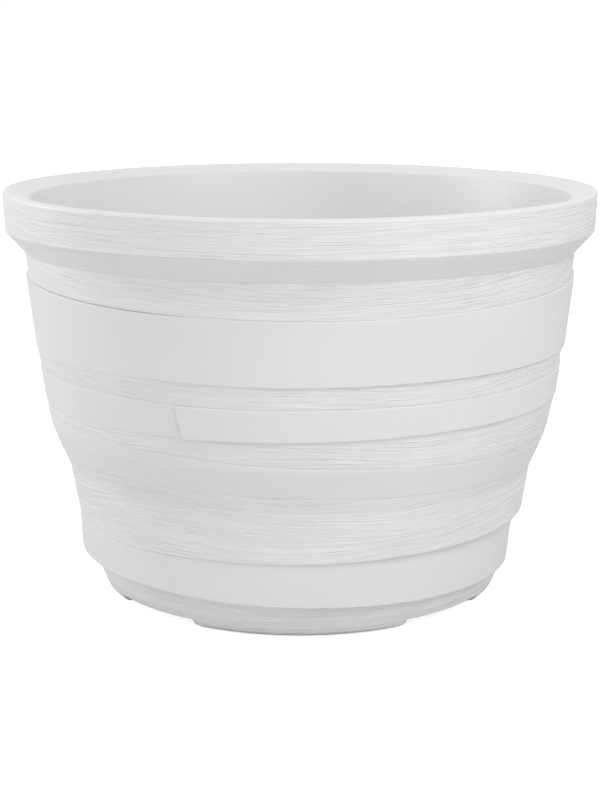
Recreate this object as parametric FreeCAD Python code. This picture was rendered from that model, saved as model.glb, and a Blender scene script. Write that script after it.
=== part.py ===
import FreeCAD, Part
import math
import os

# Round floor planter, millimetres, +Z up, origin on the floor at the centre of the base.
# The front is at -Y, left is -X and right is +X, seen from the front.
# One double-walled moulded shell with wound smooth and grained bands, and a screw plug with a
# seal in its planting floor. The closed space between the two skins is left solid.

# Overall sizes
rim_radius = 290.0
height = 402.0
skin = 5.0

# Rim: a thick lip with a nearly upright face and a sloping underside
rim_width = 26.0
rim_face_draft = 1.6
rim_outer_bevel = 2.6
rim_inner_bevel = 5.0
rim_face_foot_share = 0.903
rim_slope_foot_share = 0.8507

# Outer wall under the rim: where its slope changes, as shares of the rim's radius and the height
neck_radius_share = 0.9303
upper_radius_share = 0.8979
upper_height_share = 0.6244
middle_radius_share = 0.8772
middle_height_share = 0.5
shoulder_radius_share = 0.8572
shoulder_height_share = 0.4279
waist_radius_share = 0.7972
waist_height_share = 0.3159
lower_radius_share = 0.74
lower_height_share = 0.2027
hem_radius_share = 0.7
hem_height_share = 0.05

# Bands: height of each edge at the axis, where it isn't a bend of the wall
first_band_top_share = 0.7985
second_band_top_share = 0.5821
slope_band_top_share = 0.4378
grain_band_top_share = 0.3532
low_band_foot_share = 0.0958

# Bands: how far an edge drops on the way to the front and on the way to the right
first_top_front_drop = 12.0
second_top_front_drop = 4.0
second_foot_left_drop = 3.5
slope_top_right_drop = 12.0
grain_top_right_drop = 6.0
grain_top_back_drop = 4.0
grain_foot_left_drop = 4.0
low_foot_right_drop = 7.0

# Bands: how far each one stands out from the wall under it
first_band_rise = 1.8
second_band_rise = 0.5
strip_rise = 2.1
slope_band_rise = 0.9
grain_band_rise = 1.4
grain_band_foot_rise = 9.6
grain_band_shift = 1.0
low_band_rise = 5.2
low_band_foot_rise = 9.8
low_band_left_shift = 4.0
low_band_front_shift = 2.0

# The loose end of the second strip, at the front left
strip_end_turn = -24.0
strip_end_lean = -5.5
strip_high_turn = 20.0
strip_far_end_turn = 92.0

# Inside: planting space
floor_height = 62.0
floor_radius_share = 0.6828
floor_bevel = 9.0

# Base: four feet between two crossing channels
foot_height = 12.0
foot_bevel = 11.0
foot_contact_radius_share = 0.631
foot_inner_radius_share = 0.5172
channel_half_width = 50.0
channel_corner = 12.0
channel_turn = 45.0

# Drain: sump, threaded well and screw plug
sump_radius = 30.0
sump_depth = 8.0
well_bore_radius = 19.0
plug_running_gap = 0.05
plug_head_radius = 27.0
plug_head_thickness = 4.8
plug_shank_length = 24.0
plug_grip_width = 9.0
plug_grip_pocket_radius = 20.5
plug_grip_pocket_depth = 3.4
seal_thickness = 2.6
seal_outer_radius = 26.0
seal_neck_gap = 0.3

# Kiss-offs: tapered pockets under the base where the two floors are joined
kiss_off_reach_share = 0.3862
kiss_off_mouth_half = 11.0
kiss_off_tip_half = 7.0

# Sizes that follow from the shares
rim_foot_radius = rim_radius - rim_face_draft
rim_mouth_radius = rim_radius - rim_width
rim_face_foot = height * rim_face_foot_share
rim_slope_foot = height * rim_slope_foot_share
upper_height = height * upper_height_share
middle_height = height * middle_height_share
shoulder_height = height * shoulder_height_share
waist_height = height * waist_height_share
lower_height = height * lower_height_share
hem_height = height * hem_height_share
first_band_top = height * first_band_top_share
second_band_top = height * second_band_top_share
slope_band_top = height * slope_band_top_share
grain_band_top = height * grain_band_top_share
low_band_foot = height * low_band_foot_share
hem_radius = rim_radius * hem_radius_share
floor_radius = rim_radius * floor_radius_share
foot_contact_radius = rim_radius * foot_contact_radius_share
foot_inner_radius = rim_radius * foot_inner_radius_share
kiss_off_reach = rim_radius * kiss_off_reach_share

# Other shares
cut_reach_share = 2.0
band_overrun_share = 0.12
half_share = 0.5

full_turn = 360.0
half_turn = 180.0
quarter_turn = 90.0

UP = FreeCAD.Vector(0, 0, 1)
AXIS = FreeCAD.Vector(0, 0, 0)


def point(radius, level):
    """A point of a profile in the plane that is turned about the axis."""
    return FreeCAD.Vector(radius, 0, level)


def turned(edges):
    """The solid that a closed profile makes when it is turned about the axis."""
    face = Part.Face(Part.Wire(edges))
    return face.revolve(AXIS, UP, full_turn)


def polyline(points):
    """Straight edges through the points, left open."""
    return [Part.makeLine(start, end) for start, end in zip(points, points[1:])]


def bevelled_corner(before, corner, after, size):
    """The two points of a bevel that cuts the given length off both sides of a corner."""
    to_before = before.sub(corner).normalize()
    to_after = after.sub(corner).normalize()
    start = corner.add(to_before.multiply(size))
    end = corner.add(to_after.multiply(size))
    return [start, end]


def wall_line():
    """The outer wall under the rim, from the top down, as radius and height."""
    return [
        (rim_radius * neck_radius_share, rim_slope_foot),
        (rim_radius * upper_radius_share, upper_height),
        (rim_radius * middle_radius_share, middle_height),
        (rim_radius * shoulder_radius_share, shoulder_height),
        (rim_radius * waist_radius_share, waist_height),
        (rim_radius * lower_radius_share, lower_height),
        (hem_radius, hem_height),
    ]


def wall_radius_at(level):
    """Radius of the outer wall at a height under the rim."""
    line = wall_line()
    for (upper, top), (lower, foot) in zip(line, line[1:]):
        if foot <= level <= top:
            return lower + (upper - lower) * (level - foot) / (top - foot)
    return line[-1][0]


def outer_body():
    """The solid body inside the outer skin, without the bands, with bevelled rim and feet."""
    mouth = point(0, height)
    rim_corner = point(rim_radius, height)
    rim_foot = point(rim_foot_radius, rim_face_foot)
    hem = point(hem_radius, hem_height)
    foot_corner = point(foot_contact_radius + foot_bevel, 0)
    base = point(0, 0)
    points = [mouth]
    points += bevelled_corner(mouth, rim_corner, rim_foot, rim_outer_bevel)
    points.append(rim_foot)
    points += [point(radius, level) for radius, level in wall_line()]
    points += bevelled_corner(hem, foot_corner, base, foot_bevel)
    points += [base, mouth]
    return turned(polyline(points))


def below(level, front_drop, right_drop):
    """Everything below a plane that drops by the given amounts at the front and the right."""
    reach = cut_reach_share * rim_radius
    slope_x = -right_drop / rim_radius
    slope_y = front_drop / rim_radius
    normal = FreeCAD.Vector(slope_x, slope_y, -1)
    return Part.makeCylinder(reach, reach, FreeCAD.Vector(0, 0, level), normal)


def cone_between(foot_radius, foot_level, top_radius, top_level, shift):
    """A cone running a little past both heights on its own slope, its centre moved along X."""
    overrun = band_overrun_share * height
    slope = (top_radius - foot_radius) / (top_level - foot_level)
    low = foot_level - overrun
    base = FreeCAD.Vector(shift, 0, low)
    low_radius = foot_radius - slope * overrun
    high_radius = top_radius + slope * overrun
    return Part.makeCone(low_radius, high_radius, top_level - foot_level + overrun + overrun, base, UP)


def first_band():
    """The wide smooth strip under the rim, its upper edge dipping at the front."""
    foot_radius = wall_radius_at(upper_height) + first_band_rise
    top_radius = wall_radius_at(first_band_top) + first_band_rise
    band = cone_between(foot_radius, upper_height, top_radius, first_band_top, 0)
    band = band.common(below(first_band_top, first_top_front_drop, 0))
    return band.cut(below(upper_height, 0, 0))


def second_band_layer(shift_x, shift_y):
    """The second smooth strip, its cone moved sideways by the given amounts."""
    foot_radius = wall_radius_at(middle_height) + second_band_rise
    top_radius = wall_radius_at(second_band_top) + second_band_rise
    band = cone_between(foot_radius, middle_height, top_radius, second_band_top, shift_x)
    band.translate(FreeCAD.Vector(0, shift_y, 0))
    band = band.common(below(second_band_top, second_top_front_drop, 0))
    return band.cut(below(middle_height, 0, -second_foot_left_drop))


def left_of(turn, lean):
    """Everything on the left of an upright plane through the axis, seen from the front, with the
    plane turned about the axis and leaning sideways."""
    reach = cut_reach_share * rim_radius
    block = Part.makeBox(reach, reach, reach)
    block.translate(FreeCAD.Vector(-reach, -reach, -reach * half_share))
    block.rotate(AXIS, FreeCAD.Vector(0, 1, 0), lean)
    block.translate(FreeCAD.Vector(0, 0, middle_height))
    block.rotate(AXIS, UP, turn)
    return block


def strip_end():
    """The raised layer of the second strip, which starts at a leaning loose end at the front
    left, stands out most at the front and runs out at the far right."""
    turn = math.radians(strip_high_turn)
    band = second_band_layer(strip_rise * math.sin(turn), -strip_rise * math.cos(turn))
    reach = left_of(strip_far_end_turn, 0)
    return band.common(reach).cut(left_of(strip_end_turn, strip_end_lean))


def slope_band():
    """The smooth strip that draws the wall in, with both edges dropping to the right."""
    foot_radius = wall_radius_at(waist_height) + slope_band_rise
    top_radius = wall_radius_at(shoulder_height) + slope_band_rise
    band = cone_between(foot_radius, waist_height, top_radius, shoulder_height, 0)
    band = band.common(below(slope_band_top, 0, slope_top_right_drop))
    return band.cut(below(grain_band_top, -grain_top_back_drop, grain_top_right_drop))


def grain_band():
    """The widest grained strip, standing out most at its lower edge, bent at the waist."""
    foot_radius = wall_radius_at(lower_height) + grain_band_foot_rise
    top_radius = wall_radius_at(waist_height) + grain_band_rise
    band = cone_between(foot_radius, lower_height, top_radius, waist_height, -grain_band_shift)
    slope_foot = wall_radius_at(waist_height) + grain_band_rise
    slope_top = wall_radius_at(shoulder_height) + grain_band_rise
    slope = cone_between(slope_foot, waist_height, slope_top, shoulder_height, 0)
    band = band.fuse(slope)
    band = band.common(below(grain_band_top, -grain_top_back_drop, grain_top_right_drop))
    return band.cut(below(lower_height, 0, -grain_foot_left_drop))


def low_band():
    """The lowest smooth strip, set off centre so it stands out at the left and the front."""
    foot_radius = wall_radius_at(low_band_foot) + low_band_foot_rise
    top_radius = wall_radius_at(lower_height) + low_band_rise
    band = cone_between(foot_radius, low_band_foot, top_radius, lower_height, -low_band_left_shift)
    band.translate(FreeCAD.Vector(0, -low_band_front_shift, 0))
    band = band.common(below(lower_height, 0, -grain_foot_left_drop))
    return band.cut(below(low_band_foot, 0, low_foot_right_drop))


def planting_space():
    """The open space inside, tapered, with a bevelled mouth and a bevelled floor corner."""
    top = height + rim_inner_bevel
    centre = point(0, floor_height)
    corner = point(floor_radius, floor_height)
    mouth = point(rim_mouth_radius, height)
    rim_outer = point(rim_radius, height)
    points = [centre]
    points += bevelled_corner(centre, corner, mouth, floor_bevel)
    points += bevelled_corner(corner, mouth, rim_outer, rim_inner_bevel)
    points += [point(points[-1].x, top), point(0, top), centre]
    return turned(polyline(points))


def channel():
    """One channel across the base, between rounded feet, running along X before it is turned."""
    reach = rim_radius
    low_side = channel_half_width + channel_corner
    bend = 1 - math.sqrt(half_share)
    bend_side = channel_half_width + channel_corner * bend
    right_foot = FreeCAD.Vector(0, low_side, 0)
    right_bend = FreeCAD.Vector(0, bend_side, foot_height * bend)
    right_top = FreeCAD.Vector(0, channel_half_width, foot_height)
    left_foot = FreeCAD.Vector(0, -low_side, 0)
    left_bend = FreeCAD.Vector(0, -bend_side, foot_height * bend)
    left_top = FreeCAD.Vector(0, -channel_half_width, foot_height)
    edges = [
        Part.makeLine(left_foot, right_foot),
        Part.Arc(right_foot, right_bend, right_top).toShape(),
        Part.makeLine(right_top, left_top),
        Part.Arc(left_top, left_bend, left_foot).toShape(),
    ]
    face = Part.Face(Part.Wire(edges))
    face.translate(FreeCAD.Vector(-reach, 0, 0))
    return face.extrude(FreeCAD.Vector(reach + reach, 0, 0))


def base_hollows():
    """The two crossing channels and the raised middle that leave four feet."""
    first = channel()
    first.rotate(AXIS, UP, channel_turn)
    second = channel()
    second.rotate(AXIS, UP, -channel_turn)
    middle = Part.makeCone(foot_inner_radius + channel_corner, foot_inner_radius, foot_height)
    return [first, second, middle]


def kiss_offs():
    """The tapered square pockets that reach from the base up to the skin of the floor."""
    top = floor_height - skin - skin
    mouth = kiss_off_mouth_half
    tip = kiss_off_tip_half
    pockets = []
    for turn in (channel_turn, half_turn - channel_turn, half_turn + channel_turn, -channel_turn):
        pocket = Part.makeWedge(-mouth, 0, -mouth, -tip, -tip, mouth, top, mouth, tip, tip)
        pocket.rotate(AXIS, FreeCAD.Vector(1, 0, 0), quarter_turn)
        pocket.translate(FreeCAD.Vector(kiss_off_reach, 0, 0))
        pocket.rotate(AXIS, UP, turn)
        pockets.append(pocket)
    return pockets


def drain_space():
    """The sump in the planting floor and the threaded well under it."""
    sump = Part.makeCylinder(sump_radius, sump_depth + skin, point(0, floor_height - sump_depth), UP)
    bore = Part.makeCylinder(well_bore_radius, floor_height, AXIS, UP)
    return sump.fuse(bore)


def planter_shell():
    """The one-piece double-walled shell, solid where its hollow is closed."""
    bands = [first_band(), second_band_layer(0, 0), strip_end()]
    bands += [slope_band(), grain_band(), low_band()]
    body = outer_body().fuse(bands)
    body = body.cut(planting_space())
    body = body.cut(base_hollows())
    body = body.cut(kiss_offs())
    body = body.cut(drain_space())
    return body.removeSplitter()


def plug_seat():
    """Height of the sump floor, where the seal lies."""
    return floor_height - sump_depth


def drain_plug():
    """The screw plug: a round head with a grip bar between two finger pockets, and a shank."""
    shank_radius = well_bore_radius - plug_running_gap
    head_foot = plug_seat() + seal_thickness
    head_top = head_foot + plug_head_thickness
    tip = head_foot - plug_shank_length
    points = [
        point(0, tip),
        point(shank_radius, tip),
        point(shank_radius, head_foot),
        point(plug_head_radius, head_foot),
        point(plug_head_radius, head_top),
        point(0, head_top),
        point(0, tip),
    ]
    plug = turned(polyline(points))
    pocket_foot = head_top - plug_grip_pocket_depth
    pocket = Part.makeCylinder(plug_grip_pocket_radius, plug_grip_pocket_depth, point(0, pocket_foot), UP)
    bar = Part.makeBox(plug_grip_width, cut_reach_share * rim_radius, plug_grip_pocket_depth)
    bar.translate(FreeCAD.Vector(-plug_grip_width * half_share, -rim_radius, pocket_foot))
    return plug.cut(pocket.cut(bar))


def plug_seal():
    """The flat rubber ring under the plug's head."""
    inner = well_bore_radius - plug_running_gap + seal_neck_gap
    ring = Part.makeCylinder(seal_outer_radius, seal_thickness, point(0, plug_seat()), UP)
    return ring.cut(Part.makeCylinder(inner, seal_thickness, point(0, plug_seat()), UP))


def build():
    """Make and save every piece."""
    os.makedirs("parts", exist_ok=True)
    pieces = {
        "planter_shell": planter_shell(),
        "drain_plug": drain_plug(),
        "plug_seal": plug_seal(),
    }
    for name, shape in pieces.items():
        shape.exportStep("parts/" + name + ".step")
        print(name, shape.isValid(), len(shape.Solids), round(shape.Volume / 1000.0, 1))


build()
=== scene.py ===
"""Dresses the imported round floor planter: wound smooth and grained bands, moulded feet, drain plug.

The planter is rotomoulded in white polyethylene. Its outer wall looks wound from strips: smooth ones
that stand a little proud, and wood-grained ones between them. The front faces -Y, left is -X.
"""

import logging
import math
from dataclasses import dataclass, field
from enum import Enum

import bpy
import numpy as np
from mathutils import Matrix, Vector

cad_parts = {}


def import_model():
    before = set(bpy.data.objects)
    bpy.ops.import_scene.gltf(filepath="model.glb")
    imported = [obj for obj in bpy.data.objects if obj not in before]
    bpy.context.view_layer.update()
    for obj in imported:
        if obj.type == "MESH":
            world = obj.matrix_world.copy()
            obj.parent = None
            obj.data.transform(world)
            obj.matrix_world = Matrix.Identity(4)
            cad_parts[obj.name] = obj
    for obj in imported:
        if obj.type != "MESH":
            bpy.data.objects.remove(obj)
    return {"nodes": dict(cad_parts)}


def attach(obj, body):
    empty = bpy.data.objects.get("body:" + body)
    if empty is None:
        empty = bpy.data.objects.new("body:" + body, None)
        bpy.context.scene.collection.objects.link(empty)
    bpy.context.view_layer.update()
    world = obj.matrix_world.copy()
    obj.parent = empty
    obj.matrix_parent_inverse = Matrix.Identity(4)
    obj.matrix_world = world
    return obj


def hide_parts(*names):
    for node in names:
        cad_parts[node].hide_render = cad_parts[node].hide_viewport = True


LOG = logging.getLogger("planter")
MM = 0.001
FULL_TURN = 2.0 * math.pi
PURE_WHITE = (1.0, 1.0, 1.0, 1.0)


# Small tools: colour, nodes and noise


def linear(hex_colour: str) -> tuple[float, float, float, float]:
    """Turns an sRGB hex colour into linear red, green, blue and alpha.

    Args:
        hex_colour: Six hex digits with a leading hash.

    Returns:
        The linear colour with alpha 1.
    """
    channels = [int(hex_colour[i:i + 2], 16) / 255.0 for i in (1, 3, 5)]
    turned = [c / 12.92 if c <= 0.04045 else ((c + 0.055) / 1.055) ** 2.4 for c in channels]
    return turned[0], turned[1], turned[2], 1.0


def add_node(tree: bpy.types.NodeTree, kind: str, settings: dict, inputs: dict) -> bpy.types.Node:
    """Adds a node, sets its properties and fills or links its inputs.

    Args:
        tree: The node tree to add to.
        kind: The node's type name.
        settings: Property names and values.
        inputs: Socket names or numbers, each with a value or an output socket.

    Returns:
        The new node.
    """
    node = tree.nodes.new(kind)
    for name, value in settings.items():
        setattr(node, name, value)
    for name, value in inputs.items():
        if isinstance(value, bpy.types.NodeSocket):
            tree.links.new(value, node.inputs[name])
        else:
            node.inputs[name].default_value = value
    return node


def smooth_step(values: np.ndarray) -> np.ndarray:
    """Eases values from 0 to 1, held outside that range."""
    held = np.clip(values, 0.0, 1.0)
    return held * held * (3.0 - 2.0 * held)


def hashed(x: np.ndarray, y: np.ndarray, z: np.ndarray, seed: int) -> np.ndarray:
    """Gives each lattice point its own number from -1 to 1.

    Args:
        x: Whole numbers along the first way.
        y: Whole numbers along the second way.
        z: Whole numbers along the third way.
        seed: Chooses one pattern of many.

    Returns:
        Numbers from -1 to 1, the same for the same input.
    """
    mixed = (x * 374761393 + y * 668265263 + z * 2147483647 + seed * 974634777) & 0xFFFFFFFF
    mixed = ((mixed ^ (mixed >> 13)) * 1274126177) & 0xFFFFFFFF
    mixed = ((mixed ^ (mixed >> 16)) * 2246822519) & 0xFFFFFFFF
    return (mixed ^ (mixed >> 15)).astype(np.float64) / 2147483647.5 - 1.0


def noise(points: np.ndarray, cell: tuple[float, float, float], seed: int) -> np.ndarray:
    """Smooth value noise at points in space.

    Args:
        points: Positions, the last axis being x, y and z.
        cell: Size of one patch of the noise each way, in the same unit.
        seed: Chooses one pattern of many.

    Returns:
        Noise from -1 to 1 at each point.
    """
    place = points / np.array(cell)
    base = np.floor(place).astype(np.int64)
    part = place - base
    ease = part * part * part * (part * (part * 6.0 - 15.0) + 10.0)
    total = np.zeros(points.shape[:-1])
    for corner in np.ndindex(2, 2, 2):
        weight = np.ones(points.shape[:-1])
        for way in range(3):
            weight *= ease[..., way] if corner[way] else 1.0 - ease[..., way]
        total += weight * hashed(*(base[..., way] + corner[way] for way in range(3)), seed)
    return total


# The wound outer wall, in millimetres


class Surface(Enum):
    """How a strip's face was cut in the mould."""

    SMOOTH = 0.0
    GRAIN = 1.0
    SOFT_GRAIN = 0.45


@dataclass(frozen=True)
class Edge:
    """An edge between two strips, which may drop towards one side and wander a little."""

    height: float
    front_drop: float = 0.0
    right_drop: float = 0.0
    wander: float = 0.6
    seed: int = 1

    def heights(self, turns: np.ndarray) -> np.ndarray:
        """Height of the edge at each turn, where 0 is the front and a quarter turn the right."""
        wave = 0.6 * np.sin(3.0 * turns + self.seed) + 0.4 * np.sin(7.0 * turns + 2.3 * self.seed)
        drop = self.front_drop * np.cos(turns) + self.right_drop * np.sin(turns)
        return self.height - drop + self.wander * wave


@dataclass(frozen=True)
class Rise:
    """How far an edge of a strip stands out from the wall, on each side of the planter."""

    left: float
    front: float
    right: float
    back: float

    def at(self, turns: np.ndarray) -> np.ndarray:
        """The rise at each turn, blended between the two nearest sides."""
        sides = ((-0.5, self.left), (0.0, self.front), (0.5, self.right), (1.0, self.back))
        total = np.zeros(turns.shape)
        for quarter, rise in sides:
            total += rise * np.clip(np.cos(turns - quarter * math.pi), 0.0, None) ** 2
        return total


@dataclass(frozen=True)
class Span:
    """A stretch of the way round, in degrees from the front, eased at both ends."""

    start: float
    end: float
    ease: float

    def at(self, turns: np.ndarray) -> np.ndarray:
        """Whether each turn is in the stretch, from 0 to 1."""
        degrees = np.degrees(turns)
        entry = smooth_step((degrees - self.start) / self.ease)
        return entry * smooth_step((self.end - degrees) / self.ease)


@dataclass(frozen=True)
class LiftedEdge:
    """The upper edge of the strip below, come away from the wall, which leaves a thin dark gap."""

    depth: float
    tall: float
    span: Span


NO_RISE = Rise(0.0, 0.0, 0.0, 0.0)
EVERYWHERE = Span(-540.0, 540.0, 1.0)


@dataclass(frozen=True)
class Strip:
    """One strip of the wound wall, between the edge above and the edge below it."""

    name: str
    surface: Surface
    top: Rise = NO_RISE
    foot: Rise = NO_RISE
    shift_left: float = 0.0
    shift_front: float = 0.0
    step: float = 2.6
    flow: float = 20.0
    figure: float = 4.0
    lifted: LiftedEdge | None = None
    under_lip: Span = EVERYWHERE
    bend: float | None = None

    def shares(self, top: np.ndarray, foot: np.ndarray, level: np.ndarray) -> np.ndarray:
        """The share of the way down the strip, or down from its bend, at each column's level."""
        start = top if self.bend is None else self.bend
        return np.clip((start - level) / (start - foot), 0.0, 1.0)

    def rises(self, turns: np.ndarray, down: np.ndarray, above: Rise) -> np.ndarray:
        """How far the strip stands out from the wall.

        Args:
            turns: The turn of each column.
            down: The share of the way down the strip at each column.
            above: The rise of the strip above at its foot, which this one meets flush outside the
                stretch where that strip overhangs it.

        Returns:
            The rise at each turn.
        """
        hung = self.under_lip.at(turns)
        top = self.top.at(turns) * hung + above.at(turns) * (1.0 - hung)
        rise = top * (1.0 - down) + self.foot.at(turns) * down
        return rise - self.shift_left * np.sin(turns) + self.shift_front * np.cos(turns)


@dataclass(frozen=True)
class WoodGrain:
    """Wood grain as cut in the mould: long ridges that dip at the front and wave a little.

    The sizes are real ones in millimetres. Ridges narrower than the mesh are left to the material.
    """

    ridge_heights: tuple[float, ...] = (6.4, 3.2, 1.9)
    ridge_lengths: tuple[float, ...] = (340.0, 210.0, 110.0)
    depths: tuple[float, ...] = (0.02, 0.055, 0.075)
    wave_length: float = 120.0
    wave_rise: float = 38.0

    def bent(self, points: np.ndarray, drop: np.ndarray, figure: float, seed: int) -> np.ndarray:
        """Places on the wall, moved so that one level follows one line of the grain.

        Args:
            points: Places on the wall.
            drop: How far the grain has dropped at each place.
            figure: Height of the grain's waves.
            seed: The strip's own pattern.

        Returns:
            The moved places.
        """
        moved = points.copy()
        waves = noise(points, (self.wave_length, self.wave_length, self.wave_rise), seed + 11)
        swell = noise(points, (260.0, 260.0, 60.0), seed + 17)
        moved[..., 2] += drop + figure * (waves + 1.5 * swell)
        return moved

    def relief(self, bent: np.ndarray, seed: int) -> np.ndarray:
        """Height of the grain over the plain wall, in millimetres."""
        total = np.zeros(bent.shape[:-1])
        sizes = zip(self.ridge_heights, self.ridge_lengths, self.depths)
        for octave, (tall, long, deep) in enumerate(sizes):
            ridge = noise(bent, (long, long, tall), seed + 31 * octave)
            total += deep * (1.0 - 2.2 * np.abs(ridge) ** 0.5)
        return total


def even_turns(columns: int) -> np.ndarray:
    """Evenly spaced turns, from the back by the left, the front at 0 and the right."""
    return np.linspace(0.0, FULL_TURN, columns, endpoint=False) - math.pi


@dataclass
class RingMesh:
    """A skin built from closed rings of points, row after row, with a point at each turn."""

    turns: np.ndarray
    rows: list[np.ndarray] = field(default_factory=list)
    grain: list[np.ndarray] = field(default_factory=list)
    flow: list[np.ndarray] = field(default_factory=list)

    @property
    def columns(self) -> int:
        """How many points each ring has."""
        return len(self.turns)

    def place(self, radius: np.ndarray | float, height: np.ndarray | float) -> np.ndarray:
        """Points on a ring of the given radius and height, each one number or one per column."""
        turns = self.turns
        wide = np.broadcast_to(radius, turns.shape)
        tall = np.broadcast_to(height, turns.shape)
        return np.stack([wide * np.sin(turns), -wide * np.cos(turns), tall], axis=-1)

    def add(self, points: np.ndarray, grain: np.ndarray | float = 0.0,
            flow: np.ndarray | None = None) -> None:
        """Adds one ring.

        Args:
            points: The ring's points.
            grain: Its share of grain.
            flow: Where the points lie along the grain, if it isn't level.
        """
        self.rows.append(points)
        self.grain.append(np.broadcast_to(grain, (self.columns,)))
        self.flow.append(points if flow is None else flow)

    def make(self, name: str, closed: bool) -> bpy.types.Object:
        """Turns the rings into an object in metres.

        Args:
            name: The object's name.
            closed: Whether the last ring joins the first one, as in a hoop; if not, both ends
                are closed with a fan.

        Returns:
            The new object, smooth shaded, with its grain and flow stored as attributes.
        """
        points = np.concatenate(self.rows)
        grain = np.concatenate(self.grain)
        flow = np.concatenate(self.flow)
        count = len(self.rows)
        ring = np.arange(self.columns)
        after = (ring + 1) % self.columns
        starts = np.arange(count if closed else count - 1)[:, None] * self.columns
        ends = (starts + self.columns) % (count * self.columns)
        quads = np.stack([starts + ring, ends + ring, ends + after, starts + after], axis=-1)
        faces = quads.reshape(-1, 4)
        loops = [faces.ravel()]
        sizes = [np.full(len(faces), 4)]
        if not closed:
            for first, order in ((0, ring), ((count - 1) * self.columns, ring[::-1])):
                points = np.vstack([points, points[first:first + self.columns].mean(axis=0)])
                flow = np.vstack([flow, flow[first:first + self.columns].mean(axis=0)])
                grain = np.append(grain, grain[first])
                hub = np.full(self.columns, len(points) - 1)
                fan = np.stack([hub, first + order, first + np.roll(order, -1)], axis=-1)
                loops.append(fan.ravel())
                sizes.append(np.full(self.columns, 3))
        mesh = bpy.data.meshes.new(name)
        corner_of = np.concatenate(loops)
        size = np.concatenate(sizes)
        mesh.vertices.add(len(points))
        mesh.vertices.foreach_set("co", (points * MM).astype(np.float32).ravel())
        mesh.loops.add(len(corner_of))
        mesh.loops.foreach_set("vertex_index", corner_of.astype(np.int32))
        mesh.polygons.add(len(size))
        loop_starts = np.concatenate([[0], np.cumsum(size)[:-1]])
        mesh.polygons.foreach_set("loop_start", loop_starts.astype(np.int32))
        mesh.polygons.foreach_set("use_smooth", np.ones(len(size), dtype=bool))
        mesh.update(calc_edges=True)
        mesh.validate()
        store = mesh.attributes.new("grain", "FLOAT", "POINT")
        store.data.foreach_set("value", grain.astype(np.float32))
        along = mesh.attributes.new("flow", "FLOAT_VECTOR", "POINT")
        along.data.foreach_set("vector", (flow * MM).astype(np.float32).ravel())
        made = bpy.data.objects.new(name, mesh)
        bpy.context.scene.collection.objects.link(made)
        return made


def rounded(start: tuple[float, float], corner: tuple[float, float], end: tuple[float, float],
            radius: float, steps: int) -> list[tuple[float, float]]:
    """Points of an arc that rounds a corner of an outline.

    Args:
        start: A point on the way in, as radius and height.
        corner: The sharp corner.
        end: A point on the way out.
        radius: The radius of the round.
        steps: How many flats the arc has.

    Returns:
        The points of the arc from the way in to the way out.
    """
    here = Vector(corner)
    way_in = (Vector(start) - here).normalized()
    way_out = (Vector(end) - here).normalized()
    opening = way_in.angle(way_out)
    centre = here + (way_in + way_out).normalized() * (radius / math.sin(opening / 2.0))
    first = here + way_in * (radius / math.tan(opening / 2.0)) - centre
    last = here + way_out * (radius / math.tan(opening / 2.0)) - centre
    swing = math.pi - opening
    points = []
    for step in range(steps + 1):
        share = step / steps
        mixed = first * math.sin((1.0 - share) * swing) + last * math.sin(share * swing)
        spot = centre + mixed / math.sin(swing)
        points.append((spot.x, spot.y))
    return points


# Finishes


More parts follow.
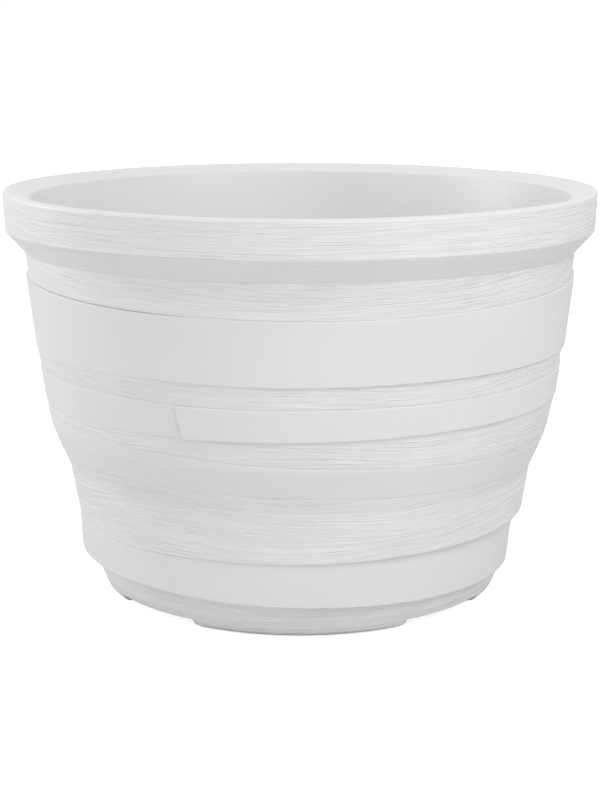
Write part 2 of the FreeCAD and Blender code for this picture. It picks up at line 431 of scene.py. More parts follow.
@dataclass(frozen=True)
class RotomouldedPolyethylene:
    """Linear low-density polyethylene, rotomoulded, with wood grain etched in the mould.

    It gives the eye a soft satin white: a faint orange peel on the smooth strips, and thin raised
    lines where the grain is cut, with painted shade, a darker colour, in the hollows between them.
    """

    name: str = "rotomoulded_polyethylene_white"
    polished: str = "#E3E3E3"
    etched: str = "#E9E9E9"
    # Painted shade: the darker colour laid in the hollows between the grain's raised lines.
    groove_shade: str = "#C9C9C9"
    smooth_roughness: float = 0.4
    grain_roughness: float = 0.56
    ior: float = 1.51
    peel_mm: float = 6.0
    line_heights_mm: tuple[float, float] = (4.6, 2.7)
    line_lengths_mm: tuple[float, float] = (250.0, 140.0)
    line_widths: tuple[float, float] = (0.06, 0.08)
    line_depth_mm: float = 0.2
    streak_detail: float = 2.0
    pore_height_mm: float = 1.1
    pore_length_mm: float = 9.0
    pore_share: float = 0.5
    peel_strength: float = 0.1
    peel_depth_mm: float = 0.5
    cloud_scale: float = 9.0
    # The most painted shade that the hollows between the grain's lines get.
    most_groove_shade: float = 0.15
    most_cloud: float = 0.12

    def make(self) -> bpy.types.Material:
        """Builds the material and returns it."""
        material = bpy.data.materials.new(self.name)
        material.use_nodes = True
        tree = material.node_tree
        tree.nodes.clear()
        place = add_node(tree, "ShaderNodeTexCoord", {}, {}).outputs["Object"]
        grain = add_node(tree, "ShaderNodeAttribute", {"attribute_name": "grain"}, {}).outputs["Fac"]
        flow = add_node(tree, "ShaderNodeAttribute", {"attribute_name": "flow"}, {}).outputs["Vector"]
        sizes = zip(self.line_lengths_mm, self.line_heights_mm, self.line_widths)
        wide, thin = (self.lines(tree, self.streaks(tree, flow, long, tall), width)
                      for long, tall, width in sizes)
        pores = self.streaks(tree, flow, self.pore_length_mm, self.pore_height_mm)
        peel = add_node(tree, "ShaderNodeTexNoise", {"noise_dimensions": "3D"},
                        {"Vector": place, "Scale": 1.0 / (self.peel_mm * MM), "Detail": 2.0}).outputs[0]
        cloud = add_node(tree, "ShaderNodeTexNoise", {"noise_dimensions": "3D"},
                         {"Vector": place, "Scale": self.cloud_scale, "Detail": 2.0}).outputs[0]
        both = add_node(tree, "ShaderNodeMath", {"operation": "ADD"}, {0: wide, 1: thin}).outputs[0]
        cut = add_node(tree, "ShaderNodeMath", {"operation": "MULTIPLY_ADD"},
                       {0: pores, 1: self.pore_share, 2: both}).outputs[0]
        held = add_node(tree, "ShaderNodeMath", {"operation": "MULTIPLY"}, {0: cut, 1: grain}).outputs[0]
        # Painted shade: a darker colour where the cut is low, in the hollows between the grain's raised
        # lines.
        low = add_node(tree, "ShaderNodeMapRange", {"clamp": True},
                       {"Value": cut, "From Min": 0.9, "From Max": 0.25, "To Min": 0.0,
                        "To Max": self.most_groove_shade}).outputs[0]
        groove_shaded = add_node(tree, "ShaderNodeMath", {"operation": "MULTIPLY"}, {0: low, 1: grain}).outputs[0]
        spread = add_node(tree, "ShaderNodeMapRange", {},
                          {"Value": cloud, "From Min": 0.3, "From Max": 0.7, "To Min": 0.0,
                           "To Max": self.most_cloud}).outputs[0]
        # The darker colour's share: painted shade between the grain's lines, plus cloudy tone at random.
        share = add_node(tree, "ShaderNodeMath", {"operation": "ADD", "use_clamp": True},
                         {0: groove_shaded, 1: spread}).outputs[0]
        body = add_node(tree, "ShaderNodeMix", {"data_type": "RGBA"},
                        {"Factor": grain, 6: linear(self.polished), 7: linear(self.etched)}).outputs[2]
        colour = add_node(tree, "ShaderNodeMix", {"data_type": "RGBA"},
                          {"Factor": share, 6: body, 7: linear(self.groove_shade)}).outputs[2]
        rough = add_node(tree, "ShaderNodeMapRange", {},
                         {"Value": grain, "To Min": self.smooth_roughness,
                          "To Max": self.grain_roughness}).outputs[0]
        fine = add_node(tree, "ShaderNodeBump", {},
                        {"Height": held, "Strength": 1.0,
                         "Distance": self.line_depth_mm * MM}).outputs[0]
        skin = add_node(tree, "ShaderNodeBump", {},
                        {"Height": peel, "Strength": self.peel_strength,
                         "Distance": self.peel_depth_mm * MM, "Normal": fine}).outputs[0]
        shader = add_node(tree, "ShaderNodeBsdfPrincipled", {},
                          {"Base Color": colour, "Roughness": rough, "IOR": self.ior, "Normal": skin})
        add_node(tree, "ShaderNodeOutputMaterial", {}, {"Surface": shader.outputs[0]})
        return material

    def streaks(self, tree: bpy.types.NodeTree, place: bpy.types.NodeSocket, length: float,
                height: float) -> bpy.types.NodeSocket:
        """Noise drawn out sideways, as wood grain lies.

        Args:
            tree: The node tree to add to.
            place: The place along the grain.
            length: Length of a streak in millimetres.
            height: Height of a streak in millimetres.

        Returns:
            The noise, from 0 to 1.
        """
        scale = (1.0 / (length * MM), 1.0 / (length * MM), 1.0 / (height * MM))
        drawn = add_node(tree, "ShaderNodeVectorMath", {"operation": "MULTIPLY"}, {0: place, 1: scale})
        return add_node(tree, "ShaderNodeTexNoise", {"noise_dimensions": "3D"},
                        {"Vector": drawn.outputs[0], "Scale": 1.0, "Detail": self.streak_detail}).outputs[0]

    def lines(self, tree: bpy.types.NodeTree, streak: bpy.types.NodeSocket,
              width: float) -> bpy.types.NodeSocket:
        """Thin raised lines where a streak's noise passes its middle.

        Args:
            tree: The node tree to add to.
            streak: The noise, from 0 to 1.
            width: How much of the noise's range a line takes.

        Returns:
            The lines, 1 on the crest and 0 beside it.
        """
        apart = add_node(tree, "ShaderNodeMath", {"operation": "SUBTRACT"}, {0: streak, 1: 0.5}).outputs[0]
        off = add_node(tree, "ShaderNodeMath", {"operation": "ABSOLUTE"}, {0: apart}).outputs[0]
        return add_node(tree, "ShaderNodeMapRange", {"interpolation_type": "SMOOTHSTEP"},
                        {"Value": off, "From Min": 0.0, "From Max": width, "To Min": 1.0,
                         "To Max": 0.0}).outputs[0]


@dataclass(frozen=True)
class SparkErodedPolyethylene:
    """Polyethylene injection-moulded in a spark-eroded mould: an even, fine matt grain."""

    name: str = "injection_moulded_polyethylene"
    body: str = "#DBDBDA"
    low: str = "#CDCDCB"
    roughness: float = 0.55
    ior: float = 1.51
    grit_mm: float = 0.6

    def make(self) -> bpy.types.Material:
        """Builds the material and returns it."""
        material = bpy.data.materials.new(self.name)
        material.use_nodes = True
        tree = material.node_tree
        tree.nodes.clear()
        place = add_node(tree, "ShaderNodeTexCoord", {}, {}).outputs["Object"]
        grit = add_node(tree, "ShaderNodeTexNoise", {"noise_dimensions": "3D"},
                        {"Vector": place, "Scale": 1.0 / (self.grit_mm * MM), "Detail": 2.0}).outputs[0]
        patch = add_node(tree, "ShaderNodeTexNoise", {"noise_dimensions": "3D"},
                         {"Vector": place, "Scale": 60.0, "Detail": 3.0}).outputs[0]
        colour = add_node(tree, "ShaderNodeMix", {"data_type": "RGBA"},
                          {"Factor": patch, 6: linear(self.body), 7: linear(self.low)}).outputs[2]
        relief = add_node(tree, "ShaderNodeBump", {},
                          {"Height": grit, "Strength": 0.35, "Distance": 0.1 * MM}).outputs[0]
        shader = add_node(tree, "ShaderNodeBsdfPrincipled", {},
                          {"Base Color": colour, "Roughness": self.roughness, "IOR": self.ior,
                           "Normal": relief})
        add_node(tree, "ShaderNodeOutputMaterial", {}, {"Surface": shader.outputs[0]})
        return material


@dataclass(frozen=True)
class CutRubber:
    """Black nitrile rubber sheet, cut flat: dull, with a fine talc bloom."""

    name: str = "cut_nitrile_rubber"
    body: str = "#1C1C1C"
    bloom: str = "#3A3A3A"
    roughness: float = 0.75
    ior: float = 1.52
    talc_mm: float = 0.8

    def make(self) -> bpy.types.Material:
        """Builds the material and returns it."""
        material = bpy.data.materials.new(self.name)
        material.use_nodes = True
        tree = material.node_tree
        tree.nodes.clear()
        place = add_node(tree, "ShaderNodeTexCoord", {}, {}).outputs["Object"]
        talc = add_node(tree, "ShaderNodeTexNoise", {"noise_dimensions": "3D"},
                        {"Vector": place, "Scale": 1.0 / (self.talc_mm * MM), "Detail": 3.0}).outputs[0]
        share = add_node(tree, "ShaderNodeMapRange", {"clamp": True},
                         {"Value": talc, "From Min": 0.45, "From Max": 0.8, "To Min": 0.0,
                          "To Max": 0.7}).outputs[0]
        colour = add_node(tree, "ShaderNodeMix", {"data_type": "RGBA"},
                          {"Factor": share, 6: linear(self.body), 7: linear(self.bloom)}).outputs[2]
        relief = add_node(tree, "ShaderNodeBump", {},
                          {"Height": talc, "Strength": 0.3, "Distance": 0.1 * MM}).outputs[0]
        shader = add_node(tree, "ShaderNodeBsdfPrincipled", {},
                          {"Base Color": colour, "Roughness": self.roughness, "IOR": self.ior,
                           "Normal": relief})
        add_node(tree, "ShaderNodeOutputMaterial", {}, {"Surface": shader.outputs[0]})
        return material


@dataclass(frozen=True)
class StudioPaper:
    """Matt white paper on the floor: pure white to the camera, with the planter's shadow kept on it."""

    name: str = "matt_studio_paper"
    seen: str = "#E8E8E8"
    body: str = "#E2E2E2"
    glow: float = 0.78
    roughness: float = 0.9

    def make(self) -> bpy.types.Material:
        """Builds the material and returns it."""
        material = bpy.data.materials.new(self.name)
        material.use_nodes = True
        tree = material.node_tree
        tree.nodes.clear()
        camera = add_node(tree, "ShaderNodeLightPath", {}, {}).outputs["Is Camera Ray"]
        plain = add_node(tree, "ShaderNodeBsdfPrincipled", {},
                         {"Base Color": linear(self.body), "Roughness": self.roughness,
                          "Specular IOR Level": 0.0}).outputs[0]
        white = add_node(tree, "ShaderNodeBsdfDiffuse", {}, {"Color": linear(self.seen)}).outputs[0]
        glow = add_node(tree, "ShaderNodeEmission", {},
                        {"Color": PURE_WHITE, "Strength": self.glow}).outputs[0]
        lit = add_node(tree, "ShaderNodeAddShader", {}, {0: white, 1: glow}).outputs[0]
        shader = add_node(tree, "ShaderNodeMixShader", {}, {0: camera, 1: plain, 2: lit})
        add_node(tree, "ShaderNodeOutputMaterial", {}, {"Surface": shader.outputs[0]})
        return material


# Sub-assemblies


@dataclass(frozen=True)
class Thread:
    """The coarse round thread that the plug's shank and the well share."""

    pitch: float = 4.0
    depth: float = 0.9

    def ridge(self, turns: np.ndarray, level: float) -> np.ndarray:
        """How far the thread stands out at each turn of one level."""
        turn = (level / self.pitch - turns / FULL_TURN) % 1.0
        return self.depth * smooth_step((0.28 - np.abs(turn - 0.5)) / 0.12)


@dataclass
class PlanterShell:
    """The one-piece double-walled shell. Sizes are in millimetres."""

    columns: int = 720
    rim_radius: float = 290.0
    rim_bevel: float = 3.4
    rim_round: float = 3.4
    rim_lean: float = 20.0
    crest_drop: Rise = Rise(-0.3, 3.4, -0.3, -1.8)
    mouth_radius: float = 264.0
    mouth_round: float = 2.5
    height: float = 402.0
    floor_height: float = 62.0
    floor_radius: float = 198.0
    floor_round: float = 14.0
    sump_radius: float = 30.0
    sump_depth: float = 8.0
    well_radius: float = 19.0
    foot_height: float = 12.0
    foot_contact_radius: float = 183.0
    foot_inner_radius: float = 150.0
    channel_half_width: float = 50.0
    channel_corner: float = 12.0
    channel_turn: float = 45.0
    kiss_off_reach: float = 112.0
    kiss_off_mouth: float = 11.0
    kiss_off_tip: float = 7.0
    kiss_off_top: float = 52.0
    hem_roundness: float = 0.5
    strip_high_turn: float = 20.0
    strip_end_turn: float = -24.4
    strip_end_lean: float = 1.2
    strip_end_lift: float = 1.7
    strip_end_reach: float = 7.0
    strip_end_ease: float = 0.14
    strip_end_groove: float = 1.2
    strip_groove_ease: float = 0.9
    strip_far_turn: float = 92.0
    strip_far_ease: float = 30.0
    strip_rise: float = 2.1
    edge_round: float = 1.4
    edge_rows: tuple[float, ...] = (0.0, 0.1, 0.3, 0.7)
    smooth_lip: float = 0.5
    grain_lip: float = 0.2
    relief_fade: float = 1.2
    grain_fade: float = 0.8
    thread: Thread = Thread()
    grain: WoodGrain = WoodGrain()
    wall: tuple[tuple[float, float], ...] = (
        (290.0, 402.0), (288.4, 363.0), (269.8, 342.0), (260.4, 251.0), (254.4, 201.0),
        (248.6, 172.0), (231.2, 127.0), (214.6, 81.5), (203.0, 20.1), (198.5, 10.0))
    edges: tuple[Edge, ...] = (
        Edge(363.0, wander=0.2, seed=2),
        Edge(342.0, wander=0.4, seed=3),
        Edge(321.0, front_drop=12.0, wander=0.5, seed=4),
        Edge(251.0, wander=0.5, seed=5),
        Edge(234.0, front_drop=4.0, wander=0.5, seed=6),
        Edge(201.0, right_drop=-3.5, wander=0.5, seed=7),
        Edge(176.0, right_drop=12.0, wander=0.6, seed=8),
        Edge(142.0, right_drop=6.0, front_drop=-4.0, wander=0.6, seed=9),
        Edge(81.5, right_drop=-4.0, wander=0.7, seed=10),
        Edge(38.5, right_drop=7.0, wander=0.5, seed=11))
    strips: tuple[Strip, ...] = (
        Strip("rim_face", Surface.GRAIN, step=0.6, flow=7.0, figure=2.0),
        Strip("rim_slope", Surface.SOFT_GRAIN, step=0.9, flow=4.0, figure=1.0),
        Strip("first_grain", Surface.GRAIN, step=0.6, flow=24.0,
              lifted=LiftedEdge(2.6, 0.6, Span(-125.0, -15.0, 26.0))),
        Strip("first_smooth", Surface.SMOOTH, Rise(2.5, 0.2, 3.0, 2.2), Rise(1.6, 2.6, 2.8, 1.8)),
        Strip("second_grain", Surface.GRAIN, step=0.6, flow=12.0, under_lip=Span(-31.0, 170.0, 11.0),
              lifted=LiftedEdge(0.3, 0.25, Span(-125.0, -40.0, 20.0))),
        Strip("second_smooth", Surface.SMOOTH, Rise(0.6, 0.3, 1.0, 0.5), Rise(0.3, 0.3, 0.8, 0.5)),
        Strip("third_grain", Surface.GRAIN, step=0.6, flow=10.0),
        Strip("slope_smooth", Surface.SMOOTH, Rise(0.4, 0.5, 0.9, 0.6), Rise(0.5, 0.4, 0.2, 0.4)),
        Strip("fourth_grain", Surface.GRAIN, Rise(-0.3, 0.0, -0.3, 0.0), Rise(9.8, 9.6, 9.2, 9.6),
              bend=130.0, step=0.7, flow=4.0, figure=6.0),
        Strip("low_smooth", Surface.SMOOTH, Rise(5.2, 5.2, 5.2, 5.2), Rise(9.8, 9.8, 9.8, 9.8),
              shift_left=4.0, shift_front=2.0),
        Strip("base_grain", Surface.GRAIN, step=0.7, flow=6.0, figure=2.5))

    def wall_radius(self, heights: np.ndarray) -> np.ndarray:
        """Radius of the plain wall at each height."""
        line = np.array(self.wall)[::-1]
        return np.interp(heights, line[:, 1], line[:, 0])

    def loose_end(self, turns: np.ndarray, down: np.ndarray) -> np.ndarray:
        """How far the second strip's raised layer stands out.

        Args:
            turns: The turn of each column.
            down: The share of the way down the strip at each column.

        Returns:
            The extra rise in millimetres, with a shallow groove left of the leaning loose end.
        """
        degrees = np.degrees(turns)
        past = degrees - self.strip_end_turn - (down - 0.5) * self.strip_end_lean
        rise = self.strip_rise * np.cos(np.radians(degrees - self.strip_high_turn)) * (0.5 + 0.5 * down)
        lift = self.strip_end_lift * np.exp(-np.clip(past, 0.0, None) / self.strip_end_reach)
        rise = np.clip(rise, 0.0, None) + lift
        opened = smooth_step(past / self.strip_end_ease + 0.5)
        closed = smooth_step((self.strip_far_turn - degrees) / self.strip_far_ease)
        groove = self.strip_end_groove * smooth_step(1.0 + past / self.strip_groove_ease) * (1.0 - opened)
        return rise * opened * closed - groove

    def outer_rows(self, skin: RingMesh) -> None:
        """Adds the outer wall, strip by strip, from the rim down to the foot of the base."""
        turns = skin.turns
        top = self.rim_outline()[-1][1] - self.crest_drop.at(turns)
        for number, strip in enumerate(self.strips):
            last = number == len(self.strips) - 1
            foot = np.full(turns.shape, self.wall[-1][1]) if last else self.edges[number].heights(turns)
            self.strip_rows(skin, number, strip, top, foot)
            top = foot

    def strip_rows(self, skin: RingMesh, number: int, strip: Strip, top: np.ndarray,
                   foot: np.ndarray) -> None:
        """Adds one strip's rows.

        Args:
            skin: The skin to add to.
            number: The strip's place from the top.
            strip: The strip.
            top: Height of its upper edge at each column.
            foot: Height of its lower edge at each column.
        """
        turns = skin.turns
        tall = top - foot
        near_edge = (*self.edge_rows, self.edge_round)
        count = max(2, int(round(float(tall.mean() - 2.0 * self.edge_round) / strip.step)))
        middle = np.linspace(0.0, 1.0, count + 1)[1:-1]
        levels = [top - d for d in near_edge]
        levels += [top - self.edge_round - share * (tall - 2.0 * self.edge_round) for share in middle]
        levels += [foot + d for d in near_edge[::-1]]
        drop = strip.flow * np.cos(turns)
        deepest = self.smooth_lip if strip.surface is Surface.SMOOTH else self.grain_lip
        seed = 100 * number
        amount = strip.surface.value
        above = self.strips[number - 1].foot if number else NO_RISE
        for level in levels:
            share = strip.shares(top, foot, level)
            edge_gap = np.minimum(top - level, level - foot)
            lip_gap = edge_gap if number else level - foot
            rise = strip.rises(turns, share, above)
            if strip.name == "second_smooth":
                rise = rise + self.loose_end(turns, share)
            bow = 1.0 - np.clip(lip_gap / self.edge_round, 0.0, 1.0)
            lip = deepest * (1.0 - np.sqrt(np.clip(1.0 - bow ** 2, 0.0, 1.0)))
            radius = self.wall_radius(level) + rise - lip
            if strip.lifted:
                gap = strip.lifted.depth * strip.lifted.span.at(turns)
                radius = radius - gap * (level - foot < strip.lifted.tall)
            points = skin.place(radius, level)
            bent = self.grain.bent(points[None], drop, strip.figure, seed)
            if amount:
                fade = amount * smooth_step(edge_gap / self.relief_fade)
                points = skin.place(radius + self.grain.relief(bent, seed)[0] * fade, level)
            skin.add(points, amount * smooth_step(edge_gap / self.grain_fade), bent[0])

    def base_level(self, x: np.ndarray, y: np.ndarray) -> np.ndarray:
        """Height of the underside at a place: feet, channels and kiss-off pockets.

        Args:
            x: Places along X.
            y: Places along Y.

        Returns:
            The height of the underside at each place.
        """
        reach = np.hypot(x, y)
        aim = math.radians(self.channel_turn)
        level = self.foot_height * (1.0 - np.clip((reach - self.foot_inner_radius) / self.channel_corner,
                                                  0.0, 1.0))
        for side in (-1.0, 1.0):
            across = np.abs(side * x * math.cos(aim) + y * math.sin(aim))
            along = np.abs(side * x * math.sin(aim) - y * math.cos(aim))
            corner = np.clip((across - self.channel_half_width) / self.channel_corner, 0.0, 1.0)
            level = np.maximum(level, self.foot_height * (1.0 - np.sqrt(1.0 - (1.0 - corner) ** 2)))
            wide = np.maximum(np.abs(along - self.kiss_off_reach), across)
            deep = (self.kiss_off_mouth - wide) / (self.kiss_off_mouth - self.kiss_off_tip)
            level = np.maximum(level, np.clip(deep, 0.0, 1.0) * self.kiss_off_top)
        foot_radius, foot_level = self.wall[-1]
        hem_width = foot_radius - self.foot_contact_radius
        outer = np.clip((reach - self.foot_contact_radius) / hem_width, 0.0, 1.0)
        curved = 1.0 - np.sqrt(1.0 - outer * outer)
        return np.maximum(level, foot_level * (outer + self.hem_roundness * (curved - outer)))

    def hem_rows(self, skin: RingMesh) -> None:
        """Cuts the channels through the last rows of the outer wall."""
        for row, points in enumerate(skin.rows):
            if points[:, 2].min() < self.foot_height:
                lifted = np.maximum(points[:, 2], self.base_level(points[:, 0], points[:, 1]))
                skin.rows[row] = np.stack([points[:, 0], points[:, 1], lifted], axis=-1)

    def base_rows(self, skin: RingMesh) -> None:
        """Adds the underside, from the outer wall in to the well's mouth."""
        reaches = list(np.linspace(self.wall[-1][0] - 0.4, 148.0, 48))
        reaches += list(np.linspace(147.0, 78.0, 70)) + [72.0, 62.0, 50.0, 38.0, 28.0, 21.5]
        for reach in reaches:
            flat = skin.place(reach, 0.0)
            skin.add(skin.place(reach, self.base_level(flat[:, 0], flat[:, 1])))

    def rim_outline(self) -> list[tuple[float, float]]:
        """The rim's top, which falls inwards, and its bevel, as radius and height."""
        slope = math.tan(math.radians(self.rim_lean))
        crest = (self.rim_radius - self.rim_bevel, self.height)
        lip = (self.mouth_radius, self.height - (crest[0] - self.mouth_radius) * slope)
        foot = (self.floor_radius, self.floor_height)
        brow = (self.rim_radius, self.height - self.rim_bevel)
        inner = rounded(foot, lip, crest, self.mouth_round, 5)
        top = rounded(lip, crest, brow, self.rim_round, 4)
        return inner + top + rounded(crest, brow, self.wall[1], self.rim_round, 4)

    def inner_rows(self, skin: RingMesh) -> None:
        """Adds the well, the sump, the planting floor, the inner wall and the mouth."""
        seat = self.floor_height - self.sump_depth
        skin.add(skin.place(self.well_radius + 1.0, self.foot_height))
        skin.add(skin.place(self.well_radius + 0.1, self.foot_height + 0.9))
        for level in np.arange(self.foot_height + 1.6, seat - 1.4, 0.5):
            fade = smooth_step(np.array([(level - self.foot_height) / 6.0, (seat - level) / 5.0])).min()
            ridge = self.thread.ridge(skin.turns, level) * fade
            skin.add(skin.place(self.well_radius + 0.1 + ridge, level))
        skin.add(skin.place(self.well_radius + 0.1, seat - 0.8))
        skin.add(skin.place(self.well_radius + 0.8, seat))
        for reach in (22.0, 26.0, 29.2):
            skin.add(skin.place(reach, seat))
        skin.add(skin.place(self.sump_radius, seat + 0.8))
        skin.add(skin.place(self.sump_radius, self.floor_height - 1.2))
        skin.add(skin.place(self.sump_radius + 0.4, self.floor_height - 0.4))
        skin.add(skin.place(self.sump_radius + 1.3, self.floor_height))
        for reach in (36.0, 50.0, 75.0, 105.0, 135.0, 160.0, 175.0):
            skin.add(skin.place(reach, self.floor_height))
        rim = self.rim_outline()
        drop = self.crest_drop.at(skin.turns)
        low = rounded((0.0, self.floor_height), (self.floor_radius, self.floor_height), rim[0],
                      self.floor_round, 8)
        for spot in low:
            skin.add(skin.place(*spot))
        for share in np.linspace(0.0, 1.0, 16)[1:-1]:
            radius = low[-1][0] + (rim[0][0] - low[-1][0]) * share
            level = low[-1][1] + (rim[0][1] - drop - low[-1][1]) * share
            ripple = 0.3 * noise(skin.place(radius, level)[None], (130.0, 130.0, 90.0), 77)[0]
            skin.add(skin.place(radius + ripple, level))
        for radius, level in rim[:-1]:
            skin.add(skin.place(radius, level - drop))

    def column_turns(self) -> np.ndarray:
        """Turns of the skin's columns, close together at the loose end of the second strip."""
        fine = np.radians(np.arange(self.strip_end_turn - 1.8, self.strip_end_turn + 1.8, 0.06))
        even = even_turns(self.columns)
        apart = (even < fine[0] - 0.002) | (even > fine[-1] + 0.002)
        return np.sort(np.concatenate([even[apart], fine]))

    def build(self) -> bpy.types.Object:
        """Builds the shell as one closed skin."""
        skin = RingMesh(self.column_turns())
        self.outer_rows(skin)
        self.hem_rows(skin)
        self.base_rows(skin)
        self.inner_rows(skin)
        return skin.make("planter_shell_skin", closed=True)

    def dress(self, made: bpy.types.Object, finish: bpy.types.Material) -> None:
        """Gives the shell its finish and joins it to its body."""
        made.data.materials.append(finish)
        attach(made, "shell")
        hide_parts("planter_shell")


@dataclass
class DrainPlug:
    """The screw plug in the planting floor. Sizes are in millimetres."""

    columns: int = 288
    head_foot: float = 56.6
    head_thickness: float = 4.8
    head_radius: float = 27.0
    head_round: float = 1.3
    shank_radius: float = 18.5
    shank_length: float = 24.0
    tip_bevel: float = 1.8
    pocket_radius: float = 20.5
    pocket_depth: float = 3.4
    grip_width: float = 9.0
    draft: float = 1.1
    thread: Thread = Thread(depth=0.75)

    def top_level(self, points: np.ndarray) -> np.ndarray:
        """Height of the head's top, with a finger pocket on each side of the grip bar."""
        inside = smooth_step((self.pocket_radius - np.hypot(points[:, 0], points[:, 1])) / self.draft)
        beside = smooth_step((np.abs(points[:, 0]) - self.grip_width / 2.0) / self.draft)
        return self.head_foot + self.head_thickness - self.pocket_depth * inside * beside

    def build(self) -> bpy.types.Object:
        """Builds the plug as one closed skin, from the top of the grip bar down to the tip."""
        skin = RingMesh(even_turns(self.columns))
        top = self.head_foot + self.head_thickness
        for reach in np.linspace(1.0, self.head_radius - self.head_round - 0.2, 46):
            flat = skin.place(reach, 0.0)
            skin.add(skin.place(reach, self.top_level(flat)))
        corner = (self.head_radius, top)
        for spot in rounded((0.0, top), corner, (self.head_radius, 0.0), self.head_round, 6):
            skin.add(skin.place(*spot))
        skin.add(skin.place(self.head_radius, self.head_foot + 0.4))
        skin.add(skin.place(self.head_radius - 0.4, self.head_foot))
        for reach in (24.0, 21.0, self.shank_radius + 0.6):
            skin.add(skin.place(reach, self.head_foot))
        tip = self.head_foot - self.shank_length
        for level in np.arange(self.head_foot - 0.6, tip + self.tip_bevel, -0.4):
            run_in = (self.head_foot - level - 3.0) / 3.0
            run_out = (level - tip - 1.6) / 2.0
            fade = smooth_step(np.array([run_in, run_out])).min()
            ridge = self.thread.ridge(skin.turns, level) * fade
            skin.add(skin.place(self.shank_radius + ridge, level))
        skin.add(skin.place(self.shank_radius - 0.2, tip + self.tip_bevel))
        skin.add(skin.place(self.shank_radius - self.tip_bevel, tip))
        for reach in (12.0, 6.0, 1.0):
            skin.add(skin.place(reach, tip))
        return skin.make("drain_plug_skin", closed=False)

    def dress(self, made: bpy.types.Object, finish: bpy.types.Material) -> None:
        """Gives the plug its finish and joins it to its body."""
        made.data.materials.append(finish)
        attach(made, "plug")
        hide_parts("drain_plug")


@dataclass
class PlugSeal:
    """The flat ring under the plug's head, with two moulded grooves. Sizes are in millimetres."""

    columns: int = 240
    foot: float = 54.0
    thickness: float = 2.6
    inner_radius: float = 19.25
    outer_radius: float = 26.0
    corner: float = 0.35
    groove_depth: float = 0.3
    grooves: tuple[float, ...] = (21.4, 23.8)

    def build(self) -> bpy.types.Object:
        """Builds the ring as one closed hoop, from its outer top edge down and round."""
        skin = RingMesh(even_turns(self.columns))
        top = self.foot + self.thickness
        outline = [(self.outer_radius, top - self.corner),
                   (self.outer_radius, self.foot + self.corner),
                   (self.outer_radius - self.corner, self.foot),
                   (self.inner_radius + self.corner, self.foot),
                   (self.inner_radius, self.foot + self.corner),
                   (self.inner_radius, top - self.corner),
                   (self.inner_radius + self.corner, top)]
        for middle in self.grooves:
            outline += [(middle - 0.6, top), (middle - 0.25, top - self.groove_depth),
                        (middle + 0.25, top - self.groove_depth), (middle + 0.6, top)]
        outline.append((self.outer_radius - self.corner, top))
        for radius, level in outline:
            skin.add(skin.place(radius, level))
        return skin.make("plug_seal_skin", closed=True)

    def dress(self, made: bpy.types.Object, finish: bpy.types.Material) -> None:
        """Gives the seal its finish and joins it to its body."""
        made.data.materials.append(finish)
        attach(made, "seal")
        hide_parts("plug_seal")


@dataclass(frozen=True)
class Lamp:
    """A soft square lamp that looks at the planter: place and size in metres, power in watts."""

    name: str
    place: tuple[float, float, float]
    size: float
    power: float


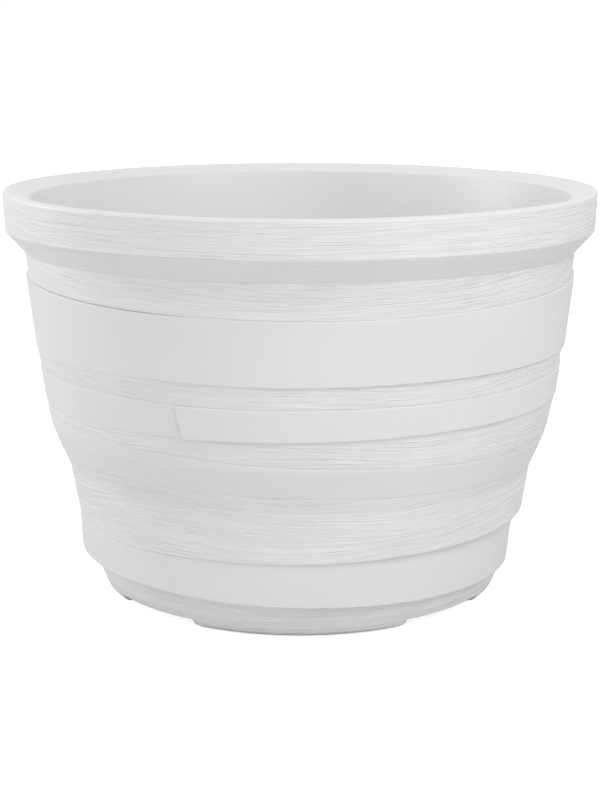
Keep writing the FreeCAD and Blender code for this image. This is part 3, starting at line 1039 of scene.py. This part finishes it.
@dataclass
class Studio:
    """The floor, the lamps and the camera."""

    floor_reach: float = 12.0
    lens: float = 76.5
    distance: float = 1.684
    camera_height: float = 0.5435
    pitch: float = 12.02
    horizon: float = 0.53
    zenith: float = 0.8
    aim: tuple[float, float, float] = (0.0, 0.0, 0.2)
    lamps: tuple[Lamp, ...] = (
        Lamp("key_lamp", (1.5, -1.7, 2.2), 1.5, 25.8),
        Lamp("left_lamp", (-2.4, 0.6, 1.0), 1.2, 21.3),
        Lamp("front_lamp", (0.3, -3.2, 1.0), 1.8, 11.3))

    def floor(self) -> None:
        """Adds the flat paper floor."""
        reach = self.floor_reach
        mesh = bpy.data.meshes.new("studio_floor")
        corners = [(-reach, -reach, 0.0), (reach, -reach, 0.0), (reach, reach, 0.0), (-reach, reach, 0.0)]
        mesh.from_pydata(corners, [], [(0, 1, 2, 3)])
        made = bpy.data.objects.new("studio_floor", mesh)
        mesh.materials.append(StudioPaper().make())
        bpy.context.scene.collection.objects.link(made)

    def hang(self, lamp: Lamp) -> None:
        """Adds a lamp and turns it towards the planter."""
        light = bpy.data.lights.new(lamp.name, "AREA")
        light.shape = "SQUARE"
        light.size = lamp.size
        light.energy = lamp.power
        made = bpy.data.objects.new(lamp.name, light)
        made.location = lamp.place
        made.rotation_mode = "QUATERNION"
        way = Vector(self.aim) - Vector(lamp.place)
        made.rotation_quaternion = way.to_track_quat("-Z", "Y")
        bpy.context.scene.collection.objects.link(made)

    def world(self) -> None:
        """A pale surround, brightest overhead, that is pure white to the camera and in reflections."""
        world = bpy.data.worlds.new("white_studio")
        bpy.context.scene.world = world
        world.use_nodes = True
        tree = world.node_tree
        tree.nodes.clear()
        path = add_node(tree, "ShaderNodeLightPath", {}, {})
        seen = add_node(tree, "ShaderNodeMath", {"operation": "MAXIMUM"},
                        {0: path.outputs["Is Camera Ray"], 1: path.outputs["Is Glossy Ray"]}).outputs[0]
        both = add_node(tree, "ShaderNodeMath", {"operation": "MAXIMUM"},
                        {0: seen, 1: path.outputs["Is Transmission Ray"]}).outputs[0]
        aim = add_node(tree, "ShaderNodeTexCoord", {}, {}).outputs["Generated"]
        up = add_node(tree, "ShaderNodeSeparateXYZ", {}, {"Vector": aim}).outputs["Z"]
        dome = add_node(tree, "ShaderNodeMapRange", {"clamp": True},
                        {"Value": up, "To Min": self.horizon, "To Max": self.zenith}).outputs[0]
        power = add_node(tree, "ShaderNodeMapRange", {},
                         {"Value": both, "To Min": dome, "To Max": 1.0}).outputs[0]
        back = add_node(tree, "ShaderNodeBackground", {}, {"Color": PURE_WHITE, "Strength": power})
        add_node(tree, "ShaderNodeOutputWorld", {}, {"Surface": back.outputs[0]})

    def camera(self) -> None:
        """Adds the camera in front of the planter, a little above the rim."""
        lens = bpy.data.cameras.new("camera")
        lens.sensor_fit = "AUTO"
        lens.sensor_width = 36.0
        lens.lens = self.lens
        made = bpy.data.objects.new("camera", lens)
        made.location = (0.0, -self.distance, self.camera_height)
        made.rotation_euler = (math.radians(90.0 - self.pitch), 0.0, 0.0)
        bpy.context.scene.collection.objects.link(made)
        bpy.context.scene.camera = made

    def build(self) -> None:
        """Sets the whole studio up."""
        self.floor()
        self.world()
        for lamp in self.lamps:
            self.hang(lamp)
        self.camera()
        bpy.context.scene.view_settings.view_transform = "Standard"


def main() -> None:
    """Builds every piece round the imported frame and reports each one."""
    logging.basicConfig(level=logging.INFO, format="%(name)s: %(message)s")
    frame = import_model()
    LOG.info("packed pieces: %s", ", ".join(sorted(frame["nodes"])))
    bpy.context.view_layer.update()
    moulded = RotomouldedPolyethylene().make()
    injected = SparkErodedPolyethylene().make()
    rubber = CutRubber().make()
    for piece, finish in ((PlanterShell(), moulded), (DrainPlug(), injected), (PlugSeal(), rubber)):
        made = piece.build()
        piece.dress(made, finish)
        LOG.info("%s: %d corners, %s", made.name, len(made.data.vertices), finish.name)
    Studio().build()


if __name__ == "__main__":
    main()
